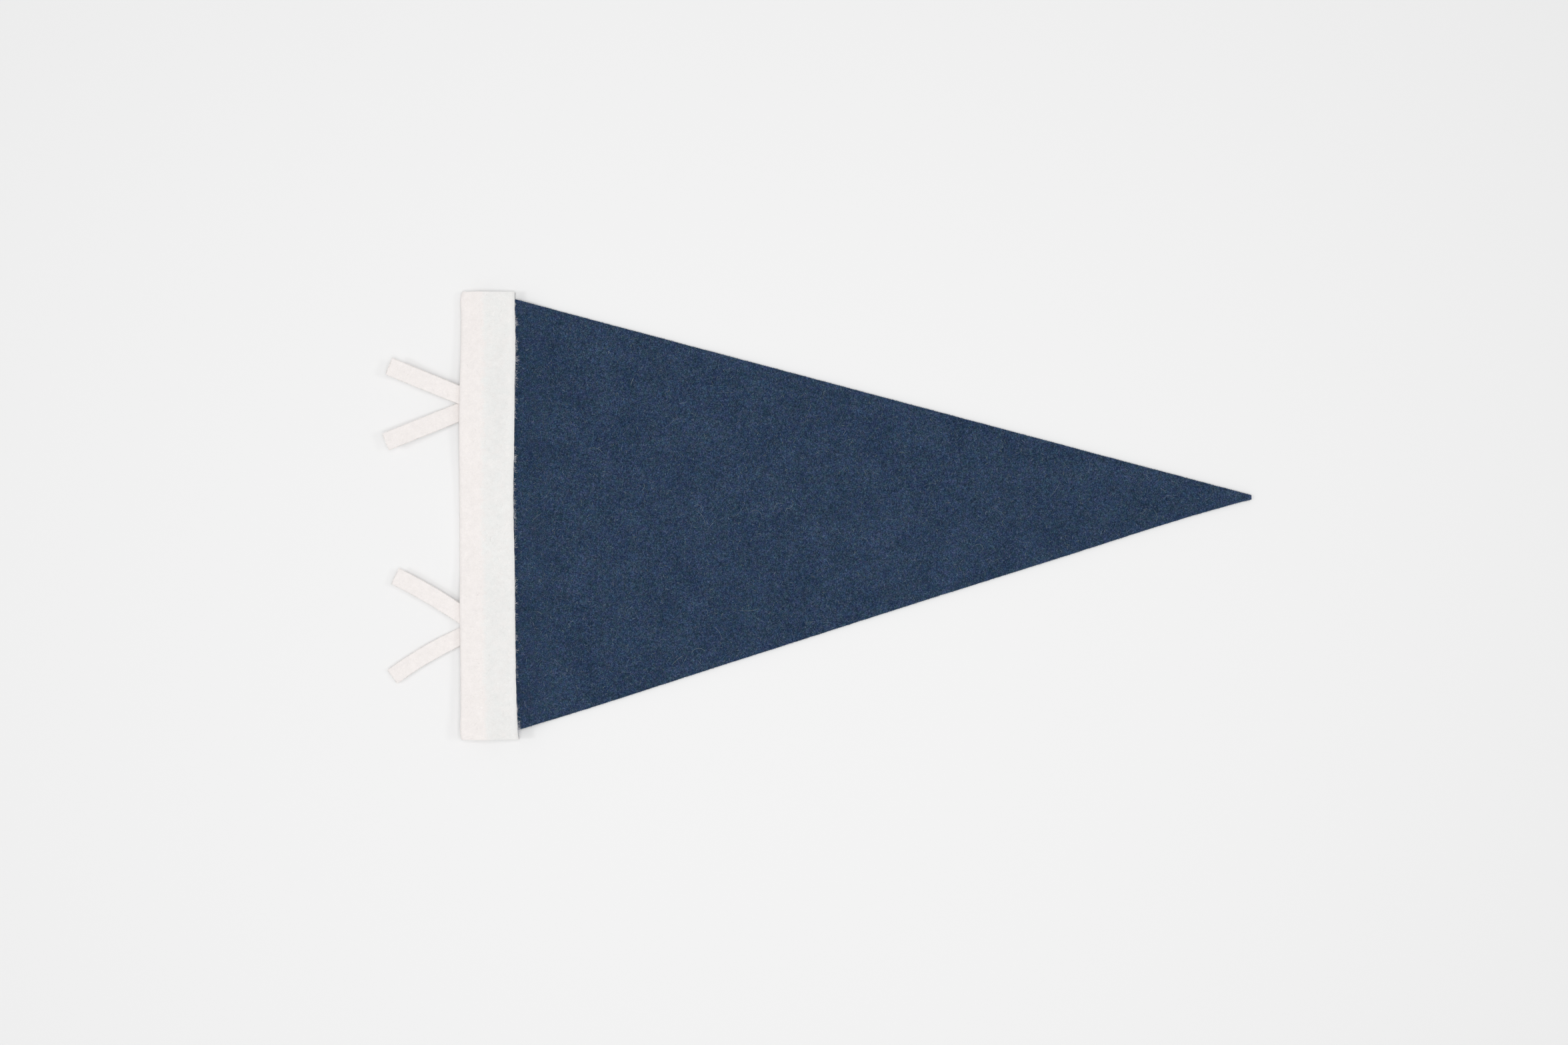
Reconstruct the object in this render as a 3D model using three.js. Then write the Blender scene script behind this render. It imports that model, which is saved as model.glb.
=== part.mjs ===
// Felt pennant flag lying flat: a long triangle of navy felt, a white felt header folded over its
// hoist edge, and two white felt ties, each folded into a V under the header's fold.
// Millimetres, +X from the header to the tip, +Y up the hoist, +Z away from the table.

import * as THREE from 'three';
import * as BufferGeometryUtils from 'three/addons/utils/BufferGeometryUtils.js';

// Felt and gaps
const FELT = 1.2;
const TIE_FELT = 1.0;
const GAP = 0.35;

// Header: the strip folded in half
const HOIST_LENGTH = 215.2;
const FOLD_GAP = 0.6;
const LIFT_FLAT_TO = 10.5;
const END_ROW = 2;
const HEADER_ROWS = 30;
const FOLD_STEPS = 6;
const SLEEVE_STEPS = 4;
const LAP_STEPS = 6;

// Field: a triangle from the hidden hoist edge to the blunt tip
const HOIST_X = 11.2;
const TIP_X = 379.2;
const TIP_Y = 8.7;
const TIP_WIDTH = 2.0;
const RAMP_LENGTH = 20;
const FIELD_ROWS = 30;

// Ties: each strip is folded once, along a crease that is parallel to the hoist
const CREASE_PART = 2.5;
const SQUARE_FROM = 9;
const TIE_ACROSS = 4;
const CREASE_STEPS = 14;
const TURN_STEPS = 4;
const LEG_STEPS = 9;
const PATH_STEPS = 24;

// The header from its lower end to its upper end: where its fold and its cut edges are, and how far
// the underside is lifted off the table at each of them
const HEADER_SHAPE = [
  { y: -107.6, fold: 1.7, cut: 28.4, foldLift: 5.3, cutLift: 1.9 },
  { y: -105.6, fold: 1.0, cut: 28.0, foldLift: 5.1, cutLift: 1.8 },
  { y: -93.3, fold: 0.8, cut: 27.3, foldLift: 4.0, cutLift: 1.3 },
  { y: -80.5, fold: 0.6, cut: 26.8, foldLift: 3.2, cutLift: 0.8 },
  { y: -66.0, fold: 0.5, cut: 26.5, foldLift: 3.0, cutLift: 0.4 },
  { y: -52.0, fold: 0.3, cut: 26.3, foldLift: 3.1, cutLift: 0.2 },
  { y: -40.0, fold: 0.1, cut: 26.2, foldLift: 2.9, cutLift: 0.0 },
  { y: -30.0, fold: 0.0, cut: 26.1, foldLift: 1.5, cutLift: 0.0 },
  { y: -18.0, fold: -0.2, cut: 25.9, foldLift: 0.5, cutLift: 0.0 },
  { y: 0.0, fold: -0.2, cut: 25.5, foldLift: 0.7, cutLift: 0.0 },
  { y: 18.0, fold: -0.2, cut: 25.5, foldLift: 1.5, cutLift: 0.0 },
  { y: 34.0, fold: -0.2, cut: 25.8, foldLift: 2.8, cutLift: 0.0 },
  { y: 48.0, fold: -0.1, cut: 26.0, foldLift: 3.2, cutLift: 0.0 },
  { y: 64.0, fold: 0.2, cut: 26.1, foldLift: 3.1, cutLift: 0.0 },
  { y: 78.0, fold: 0.5, cut: 26.4, foldLift: 2.2, cutLift: 0.0 },
  { y: 95.5, fold: 0.6, cut: 26.2, foldLift: 1.5, cutLift: 0.0 },
  { y: 105.6, fold: 0.7, cut: 26.0, foldLift: 1.4, cutLift: 0.0 },
  { y: 107.6, fold: 1.7, cut: 26.0, foldLift: 1.4, cutLift: 0.0 },
];

// How far the field's lower edge was cut inside the straight line from hoist to tip
const LOWER_EDGE_CUT = [
  { x: 11.2, inside: 0.0 },
  { x: 60.5, inside: -0.6 },
  { x: 124.5, inside: 0.0 },
  { x: 156.4, inside: 0.2 },
  { x: 220.4, inside: 0.7 },
  { x: 284.4, inside: 0.8 },
  { x: 348.4, inside: 1.1 },
  { x: 374.0, inside: 0.3 },
  { x: 379.2, inside: 0.0 },
];

// The field's columns, close together where it steps down off the header's lower layer
const FIELD_COLUMNS = [
  11.2, 15, 19, 23, 26, 28, 30.5, 33, 36, 39, 42, 45, 48, 54, 64, 92, 124, 156, 188, 220, 252, 284, 316,
  348, 365, 374, 379.2,
];

// The two legs of each tie, from the crease to the free end: the heading off the level, in degrees,
// and the height of the felt's middle above the table
const TIE_SHAPES = {
  tie_upper: {
    crease: { x: 8.45, y: 53.7 },
    upperLeg: {
      width: 8.3,
      length: 46.2,
      rows: [
        { at: 0, heading: 22.4, height: 1.8 },
        { at: 4, heading: 22.4, height: 1.9 },
        { at: 9.5, heading: 22.2, height: 2.3 },
        { at: 20, heading: 22.2, height: 2.9 },
        { at: 33, heading: 22.3, height: 3.7 },
        { at: 46.2, heading: 22.6, height: 5.3 },
      ],
    },
    lowerLeg: {
      width: 8.4,
      length: 48.2,
      rows: [
        { at: 0, heading: 22.4, height: 0.5 },
        { at: 4, heading: 22.6, height: 0.6 },
        { at: 9.5, heading: 22.8, height: 1.0 },
        { at: 20, heading: 22.8, height: 2.2 },
        { at: 33, heading: 22.6, height: 3.9 },
        { at: 48.2, heading: 22.4, height: 5.3 },
      ],
    },
  },
  tie_lower: {
    crease: { x: 8.9, y: -53.1 },
    upperLeg: {
      width: 8.2,
      length: 47.2,
      rows: [
        { at: 0, heading: 29.5, height: 1.8 },
        { at: 4, heading: 31.5, height: 1.9 },
        { at: 9.5, heading: 33.0, height: 2.2 },
        { at: 20, heading: 32.5, height: 2.5 },
        { at: 33, heading: 29.5, height: 2.9 },
        { at: 47.2, heading: 25.8, height: 3.2 },
      ],
    },
    lowerLeg: {
      width: 7.9,
      length: 48.8,
      rows: [
        { at: 0, heading: 29.5, height: 0.5 },
        { at: 4, heading: 27.0, height: 0.6 },
        { at: 9.5, heading: 25.5, height: 0.9 },
        { at: 20, heading: 27.5, height: 1.5 },
        { at: 33, heading: 31.5, height: 1.6 },
        { at: 48.8, heading: 36.5, height: 1.4 },
      ],
    },
  },
};

const NAVY = { color: 0x2f3f55, roughness: 0.97, metalness: 0 };
const WHITE = { color: 0xf1ede9, roughness: 0.95, metalness: 0 };

const { degToRad, lerp, smoothstep } = THREE.MathUtils;

// A smooth curve through one column of a table of rows
function column(rows, at, name) {
  const curve = new THREE.CubicInterpolant(
    rows.map((row) => row[at]),
    rows.map((row) => row[name]),
    1,
  );
  return (place) => curve.evaluate(place)[0];
}

// Even steps from one value to another, both ends included
function steps(from, to, count) {
  return Array.from({ length: count + 1 }, (_, i) => lerp(from, to, i / count));
}

// A closed sheet of even thickness about a grid of mid-surface points, given as rows of points
function sheet(rows, thickness) {
  const height = rows.length;
  const width = rows[0].length;
  const across = new THREE.Vector3();
  const along = new THREE.Vector3();
  const positions = [];
  for (const side of [1, -1]) {
    for (let r = 0; r < height; r++) {
      for (let c = 0; c < width; c++) {
        across.subVectors(rows[r][Math.min(c + 1, width - 1)], rows[r][Math.max(c - 1, 0)]);
        along.subVectors(rows[Math.min(r + 1, height - 1)][c], rows[Math.max(r - 1, 0)][c]);
        const normal = across.cross(along).normalize();
        const point = rows[r][c].clone().addScaledVector(normal, (side * thickness) / 2);
        positions.push(point.x, point.y, point.z);
      }
    }
  }
  const upper = (r, c) => r * width + c;
  const lower = (r, c) => height * width + r * width + c;
  const faces = [];
  const quad = (a, b, c, d) => faces.push(a, b, c, a, c, d);
  for (let r = 0; r < height - 1; r++) {
    for (let c = 0; c < width - 1; c++) {
      quad(upper(r, c), upper(r, c + 1), upper(r + 1, c + 1), upper(r + 1, c));
      quad(lower(r, c), lower(r + 1, c), lower(r + 1, c + 1), lower(r, c + 1));
    }
  }
  const rim = [];
  for (let c = 0; c < width - 1; c++) rim.push([0, c]);
  for (let r = 0; r < height - 1; r++) rim.push([r, width - 1]);
  for (let c = width - 1; c > 0; c--) rim.push([height - 1, c]);
  for (let r = height - 1; r > 0; r--) rim.push([r, 0]);
  rim.forEach(([r, c], i) => {
    const [nextR, nextC] = rim[(i + 1) % rim.length];
    quad(upper(r, c), lower(r, c), lower(nextR, nextC), upper(nextR, nextC));
  });
  const geometry = new THREE.BufferGeometry();
  geometry.setAttribute('position', new THREE.Float32BufferAttribute(positions, 3));
  geometry.setIndex(faces);
  return BufferGeometryUtils.mergeVertices(geometry);
}

function piece(name, geometry, finish) {
  const mesh = new THREE.Mesh(geometry, new THREE.MeshStandardMaterial(finish));
  mesh.name = name;
  mesh.geometry.computeVertexNormals();
  return mesh;
}

// The header's edges and lifts along the hoist
const foldEdge = column(HEADER_SHAPE, 'y', 'fold');
const cutEdge = column(HEADER_SHAPE, 'y', 'cut');
const foldLift = column(HEADER_SHAPE, 'y', 'foldLift');
const cutLiftCurve = column(HEADER_SHAPE, 'y', 'cutLift');
const cutLift = (y) => Math.max(cutLiftCurve(y), 0);

// Height of the header's underside above the table: lifted by the ties beside the fold
function headerUnder(x, y) {
  const tilt = 1 - smoothstep(x, LIFT_FLAT_TO, cutEdge(y));
  return lerp(cutLift(y), foldLift(y), tilt);
}

// The header's cross-section as a line through the felt's middle, from the lower cut edge round the
// fold to the upper cut edge
function headerSection(y) {
  const closed = FOLD_GAP + FELT;
  const open = 2 * (FELT + GAP);
  const bend = closed / 2;
  const foldCentre = foldEdge(y) + FELT / 2 + bend;
  const cut = cutEdge(y);
  const lap = steps(cut, LIFT_FLAT_TO, LAP_STEPS);
  const sleeve = steps(LIFT_FLAT_TO, foldCentre, SLEEVE_STEPS).slice(1);
  const lowerX = [...lap, ...sleeve];
  const upperX = [...lowerX].reverse();
  const lowerZ = (x) => headerUnder(x, y) + FELT / 2;
  const points = lowerX.map((x) => new THREE.Vector3(x, y, lowerZ(x)));
  for (const turn of steps(0, Math.PI, FOLD_STEPS).slice(1, -1)) {
    const x = foldCentre - bend * Math.sin(turn);
    const z = lowerZ(foldCentre) + bend * (1 - Math.cos(turn));
    points.push(new THREE.Vector3(x, y, z));
  }
  for (const x of upperX) {
    const spread = lerp(closed, open, smoothstep(x, foldCentre, LIFT_FLAT_TO));
    points.push(new THREE.Vector3(x, y, lowerZ(x) + spread));
  }
  return points;
}

function header() {
  const end = HOIST_LENGTH / 2;
  const rows = [-end, ...steps(END_ROW - end, end - END_ROW, HEADER_ROWS), end];
  return piece('header', sheet(rows.map(headerSection), FELT), WHITE);
}

// The field's long edges, and how high its underside lies
const lowerEdgeCut = column(LOWER_EDGE_CUT, 'x', 'inside');

function fieldEdges(x) {
  const half = HOIST_LENGTH / 2;
  const run = (x - HOIST_X) / (TIP_X - HOIST_X);
  return {
    lower: lerp(-half, TIP_Y - TIP_WIDTH / 2, run) + lowerEdgeCut(x),
    upper: lerp(half, TIP_Y + TIP_WIDTH / 2, run),
  };
}

function fieldUnder(x, y) {
  const cut = cutEdge(y);
  if (x <= cut) return headerUnder(x, y) + FELT + GAP;
  return (headerUnder(cut, y) + FELT + GAP) * (1 - smoothstep(x, cut, cut + RAMP_LENGTH));
}

function field() {
  const rows = FIELD_COLUMNS.map((x) => {
    const { lower, upper } = fieldEdges(x);
    return steps(upper, lower, FIELD_ROWS).map((y) => new THREE.Vector3(x, y, fieldUnder(x, y) + FELT / 2));
  });
  return piece('field', sheet(rows, FELT), NAVY);
}

// A tie, worked out as a straight strip laid open and then folded over at the crease. Distances
// along it are less than zero on the upper leg and more than zero on the lower leg.
function tie(name, { crease, upperLeg, lowerLeg }) {
  const bend = (TIE_FELT + GAP) / 2;
  const bentLength = (Math.PI * bend) / 2;
  const curves = [upperLeg, lowerLeg].map((leg) => ({
    heading: column(leg.rows, 'at', 'heading'),
    height: column(leg.rows, 'at', 'height'),
    width: leg.width,
  }));
  const legOf = (s) => curves[s < 0 ? 0 : 1];
  const heading = (s) => degToRad(legOf(s).heading(Math.abs(s)));
  const centre = (s) => {
    const step = s / PATH_STEPS;
    const middle = new THREE.Vector2();
    for (let i = 0; i < PATH_STEPS; i++) {
      const angle = heading(step * (i + 0.5));
      middle.x += Math.cos(angle) * step;
      middle.y -= Math.sin(angle) * step;
    }
    return middle;
  };
  const foldOver = (open, s) => {
    const leg = legOf(s);
    const away = Math.max(Math.abs(open.x) - bentLength, 0);
    const turn = THREE.MathUtils.clamp(open.x / bend, -Math.PI / 2, Math.PI / 2);
    const fold = leg.height(0) + Math.sign(s || 1) * bend;
    const rise = leg.height(Math.abs(s)) - leg.height(0);
    const x = crease.x + bend * Math.cos(turn) - away;
    return new THREE.Vector3(x, crease.y + open.y, fold - bend * Math.sin(turn) + rise);
  };
  const stations = [
    ...steps(-upperLeg.length, -SQUARE_FROM, LEG_STEPS),
    ...steps(-SQUARE_FROM, -CREASE_PART, TURN_STEPS).slice(1),
    ...steps(-CREASE_PART, CREASE_PART, CREASE_STEPS).slice(1),
    ...steps(CREASE_PART, SQUARE_FROM, TURN_STEPS).slice(1),
    ...steps(SQUARE_FROM, lowerLeg.length, LEG_STEPS).slice(1),
  ];
  const rows = stations.map((s) => {
    const angle = heading(s);
    const slant = angle * smoothstep(Math.abs(s), CREASE_PART, SQUARE_FROM);
    const half = legOf(s).width / 2 / Math.cos(angle - slant);
    const middle = centre(s);
    return steps(half, -half, TIE_ACROSS).map((w) => {
      const open = middle.clone().add(new THREE.Vector2(Math.sin(slant), Math.cos(slant)).multiplyScalar(w));
      return foldOver(open, s);
    });
  });
  return piece(name, sheet(rows, TIE_FELT), WHITE);
}

const flag = new THREE.Group();
flag.add(field(), header());
for (const [name, shape] of Object.entries(TIE_SHAPES)) flag.add(tie(name, shape));

// The origin is under the middle of the whole flag, on the table
const extent = new THREE.Box3().setFromObject(flag);
const middle = extent.getCenter(new THREE.Vector3());
flag.position.set(-middle.x, -middle.y, -extent.min.z);

export default flag;
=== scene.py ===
"""Felt pennant flag, dressed for its picture.

A long triangle of heathered navy felt, a white felt header folded over its hoist edge, and two
narrow white felt ties, each folded into a V under the header's fold. The flag lies flat on a pale
table and is seen from straight above. Tables and finishes are in millimetres, meshes in metres.
"""

import logging
import math
from dataclasses import dataclass, fields
from enum import Enum

import bmesh
import bpy
import numpy as np
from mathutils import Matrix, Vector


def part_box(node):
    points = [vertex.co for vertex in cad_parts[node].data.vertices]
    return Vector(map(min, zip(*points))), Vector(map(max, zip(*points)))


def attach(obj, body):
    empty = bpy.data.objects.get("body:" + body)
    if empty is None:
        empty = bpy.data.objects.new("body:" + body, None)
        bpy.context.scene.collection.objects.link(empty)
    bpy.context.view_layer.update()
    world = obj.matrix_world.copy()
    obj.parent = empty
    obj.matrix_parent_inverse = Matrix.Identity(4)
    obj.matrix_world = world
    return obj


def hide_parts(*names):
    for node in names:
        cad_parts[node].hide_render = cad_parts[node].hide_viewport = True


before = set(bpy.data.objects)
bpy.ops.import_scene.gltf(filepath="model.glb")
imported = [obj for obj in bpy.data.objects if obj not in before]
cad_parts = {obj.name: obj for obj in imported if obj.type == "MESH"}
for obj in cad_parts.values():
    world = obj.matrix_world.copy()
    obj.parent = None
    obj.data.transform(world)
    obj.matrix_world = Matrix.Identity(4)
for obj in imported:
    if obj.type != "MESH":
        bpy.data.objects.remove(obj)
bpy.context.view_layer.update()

MM = 0.001
ROOT = "root"
log = logging.getLogger("pennant")

# The felt, as in the solids: thicknesses and the gap between layers
FELT = 1.2
TIE_FELT = 1.0
GAP = 0.35

# The photograph's frame, and how many of its pixels make a millimetre at the table
PHOTO_WIDTH = 2352
PHOTO_HEIGHT = 1568
PHOTO_PER_MM = 3.126
PHOTO_FOLD_X = 691.0
PHOTO_MIDDLE_Y = 773.5


def smoothstep(place: np.ndarray, low: float | np.ndarray, high: float | np.ndarray) -> np.ndarray:
    """Eases from 0 at low to 1 at high.

    Args:
        place: Where to read the step.
        low: Where it leaves 0.
        high: Where it reaches 1.

    Returns:
        The step's value at each place.
    """
    t = np.clip((place - low) / (high - low), 0.0, 1.0)
    return t * t * (3.0 - 2.0 * t)


def mix(a: float | np.ndarray, b: float | np.ndarray, share: float | np.ndarray) -> np.ndarray:
    """Returns the value that lies a share of the way from a to b."""
    return a + (b - a) * share


def linear(red: float, green: float, blue: float) -> tuple[float, float, float, float]:
    """Turns a colour as a screen shows it, 0 to 255, into the scene's linear colour.

    Args:
        red: Red, 0 to 255.
        green: Green, 0 to 255.
        blue: Blue, 0 to 255.

    Returns:
        Linear red, green and blue, and an alpha of 1.
    """
    parts = [c / 255.0 for c in (red, green, blue)]
    parts = [p / 12.92 if p <= 0.04045 else ((p + 0.055) / 1.055) ** 2.4 for p in parts]
    return (parts[0], parts[1], parts[2], 1.0)


class Curve:
    """A smooth curve through the rows of a table, whose slope at a row is its neighbours' mean."""

    def __init__(self, at: list[float], values: list[float]) -> None:
        """Stores the rows and works out their slopes.

        Args:
            at: Where the rows stand, ascending.
            values: The value at each row.
        """
        self.at = np.array(at, float)
        self.values = np.array(values, float)
        secants = np.diff(self.values) / np.diff(self.at)
        inner = (secants[1:] + secants[:-1]) / 2.0
        self.slopes = np.concatenate([secants[:1], inner, secants[-1:]])

    def __call__(self, place: float | np.ndarray) -> np.ndarray:
        """Reads the curve.

        Args:
            place: Where to read it. Past the ends it keeps the end rows' values.

        Returns:
            The value at each place.
        """
        place = np.clip(np.asarray(place, float), self.at[0], self.at[-1])
        i = np.clip(np.searchsorted(self.at, place, side="right") - 1, 0, len(self.at) - 2)
        run = self.at[i + 1] - self.at[i]
        t = (place - self.at[i]) / run
        value = (2 * t**3 - 3 * t**2 + 1) * self.values[i] + (3 * t**2 - 2 * t**3) * self.values[i + 1]
        bend = (t**3 - 2 * t**2 + t) * self.slopes[i] + (t**3 - t**2) * self.slopes[i + 1]
        return value + bend * run


def columns_of(rows: tuple) -> dict[str, Curve]:
    """Makes a curve of each column of a table.

    Args:
        rows: Frozen rows whose first field is where each one stands.

    Returns:
        A curve for every other field, by the field's name.
    """
    names = [f.name for f in fields(rows[0])]
    at = [getattr(row, names[0]) for row in rows]
    return {name: Curve(at, [getattr(row, name) for row in rows]) for name in names[1:]}


class Unevenness:
    """Smooth seeded bumps over a plane, from a square lattice of random heights."""

    LATTICE = 64

    def __init__(self, seed: int, size: float) -> None:
        """Draws the lattice.

        Args:
            seed: Seed of the random heights.
            size: Distance between lattice points, in millimetres.
        """
        self.size = size
        self.heights = np.random.default_rng(seed).uniform(-1.0, 1.0, (self.LATTICE, self.LATTICE))

    def __call__(self, x: np.ndarray, y: np.ndarray) -> np.ndarray:
        """Reads the bumps.

        Args:
            x: Places along the flag, in millimetres.
            y: Places along the hoist, in millimetres.

        Returns:
            Heights from -1 to 1.
        """
        u, v = x / self.size, y / self.size
        i, j = np.floor(u).astype(int), np.floor(v).astype(int)
        s, t = smoothstep(u - i, 0.0, 1.0), smoothstep(v - j, 0.0, 1.0)
        n = self.LATTICE
        near = mix(self.heights[i % n, j % n], self.heights[(i + 1) % n, j % n], s)
        far = mix(self.heights[i % n, (j + 1) % n], self.heights[(i + 1) % n, (j + 1) % n], s)
        return mix(near, far, t)


@dataclass(frozen=True)
class HoistRow:
    """The header at one place along the hoist: its two edges, and the lift of its underside."""

    y: float
    fold: float
    cut: float
    fold_lift: float
    cut_lift: float


@dataclass(frozen=True)
class EdgeRow:
    """How far the field's lower edge is cut inside the straight line, at one place."""

    x: float
    inside: float


@dataclass(frozen=True)
class LegRow:
    """A tie's leg at one distance from its crease: heading off the level, and middle's height."""

    at: float
    heading: float
    height: float


@dataclass(frozen=True)
class Leg:
    """One leg of a tie, from the crease to its free end."""

    width: float
    length: float
    rows: tuple[LegRow, ...]


HOIST_ROWS = (
    HoistRow(y=-107.6, fold=1.7, cut=28.4, fold_lift=5.3, cut_lift=1.9),
    HoistRow(y=-105.6, fold=1.0, cut=28.0, fold_lift=5.1, cut_lift=1.8),
    HoistRow(y=-93.3, fold=0.8, cut=27.3, fold_lift=4.0, cut_lift=1.3),
    HoistRow(y=-80.5, fold=0.6, cut=26.8, fold_lift=3.2, cut_lift=0.8),
    HoistRow(y=-66.0, fold=0.5, cut=26.5, fold_lift=3.0, cut_lift=0.4),
    HoistRow(y=-52.0, fold=0.3, cut=26.3, fold_lift=3.1, cut_lift=0.2),
    HoistRow(y=-40.0, fold=0.1, cut=26.2, fold_lift=2.9, cut_lift=0.0),
    HoistRow(y=-30.0, fold=0.0, cut=26.1, fold_lift=1.5, cut_lift=0.0),
    HoistRow(y=-18.0, fold=-0.2, cut=25.9, fold_lift=0.5, cut_lift=0.0),
    HoistRow(y=0.0, fold=-0.2, cut=25.5, fold_lift=0.7, cut_lift=0.0),
    HoistRow(y=18.0, fold=-0.2, cut=25.5, fold_lift=1.5, cut_lift=0.0),
    HoistRow(y=34.0, fold=-0.2, cut=25.8, fold_lift=2.8, cut_lift=0.0),
    HoistRow(y=48.0, fold=-0.1, cut=26.0, fold_lift=3.2, cut_lift=0.0),
    HoistRow(y=64.0, fold=0.2, cut=26.1, fold_lift=3.1, cut_lift=0.0),
    HoistRow(y=78.0, fold=0.5, cut=26.4, fold_lift=2.2, cut_lift=0.0),
    HoistRow(y=95.5, fold=0.6, cut=26.2, fold_lift=1.5, cut_lift=0.0),
    HoistRow(y=105.6, fold=0.7, cut=26.0, fold_lift=1.4, cut_lift=0.0),
    HoistRow(y=107.6, fold=1.7, cut=26.0, fold_lift=1.4, cut_lift=0.0),
)

LOWER_EDGE_ROWS = (
    EdgeRow(x=11.2, inside=0.0),
    EdgeRow(x=60.5, inside=-0.6),
    EdgeRow(x=124.5, inside=0.0),
    EdgeRow(x=156.4, inside=0.2),
    EdgeRow(x=220.4, inside=0.7),
    EdgeRow(x=284.4, inside=0.8),
    EdgeRow(x=348.4, inside=1.1),
    EdgeRow(x=374.0, inside=0.3),
    EdgeRow(x=379.2, inside=0.0),
)

UPPER_TIE_LEGS = (
    Leg(
        width=8.3,
        length=46.2,
        rows=(
            LegRow(at=0.0, heading=22.4, height=1.8),
            LegRow(at=4.0, heading=22.4, height=1.9),
            LegRow(at=9.5, heading=22.2, height=2.3),
            LegRow(at=20.0, heading=22.2, height=2.9),
            LegRow(at=33.0, heading=22.3, height=3.7),
            LegRow(at=46.2, heading=22.6, height=5.3),
        ),
    ),
    Leg(
        width=8.4,
        length=48.2,
        rows=(
            LegRow(at=0.0, heading=22.4, height=0.5),
            LegRow(at=4.0, heading=22.6, height=0.6),
            LegRow(at=9.5, heading=22.8, height=1.0),
            LegRow(at=20.0, heading=22.8, height=2.2),
            LegRow(at=33.0, heading=22.6, height=3.9),
            LegRow(at=48.2, heading=22.4, height=5.3),
        ),
    ),
)

LOWER_TIE_LEGS = (
    Leg(
        width=8.2,
        length=47.2,
        rows=(
            LegRow(at=0.0, heading=29.5, height=1.8),
            LegRow(at=4.0, heading=31.5, height=1.9),
            LegRow(at=9.5, heading=33.0, height=2.2),
            LegRow(at=20.0, heading=32.5, height=2.5),
            LegRow(at=33.0, heading=29.5, height=2.9),
            LegRow(at=47.2, heading=25.8, height=3.2),
        ),
    ),
    Leg(
        width=7.9,
        length=48.8,
        rows=(
            LegRow(at=0.0, heading=29.5, height=0.5),
            LegRow(at=4.0, heading=27.0, height=0.6),
            LegRow(at=9.5, heading=25.5, height=0.9),
            LegRow(at=20.0, heading=27.5, height=1.5),
            LegRow(at=33.0, heading=31.5, height=1.6),
            LegRow(at=48.8, heading=36.5, height=1.4),
        ),
    ),
)


NodeValue = bpy.types.NodeSocket | float | tuple


@dataclass(frozen=True)
class Grain:
    """One band of unevenness: its size in millimetres, its strength, and its offset in metres."""

    size: float
    strength: float
    shift: float = 0.0
    octaves: float = 1.0
    swirl: float = 0.0


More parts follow.
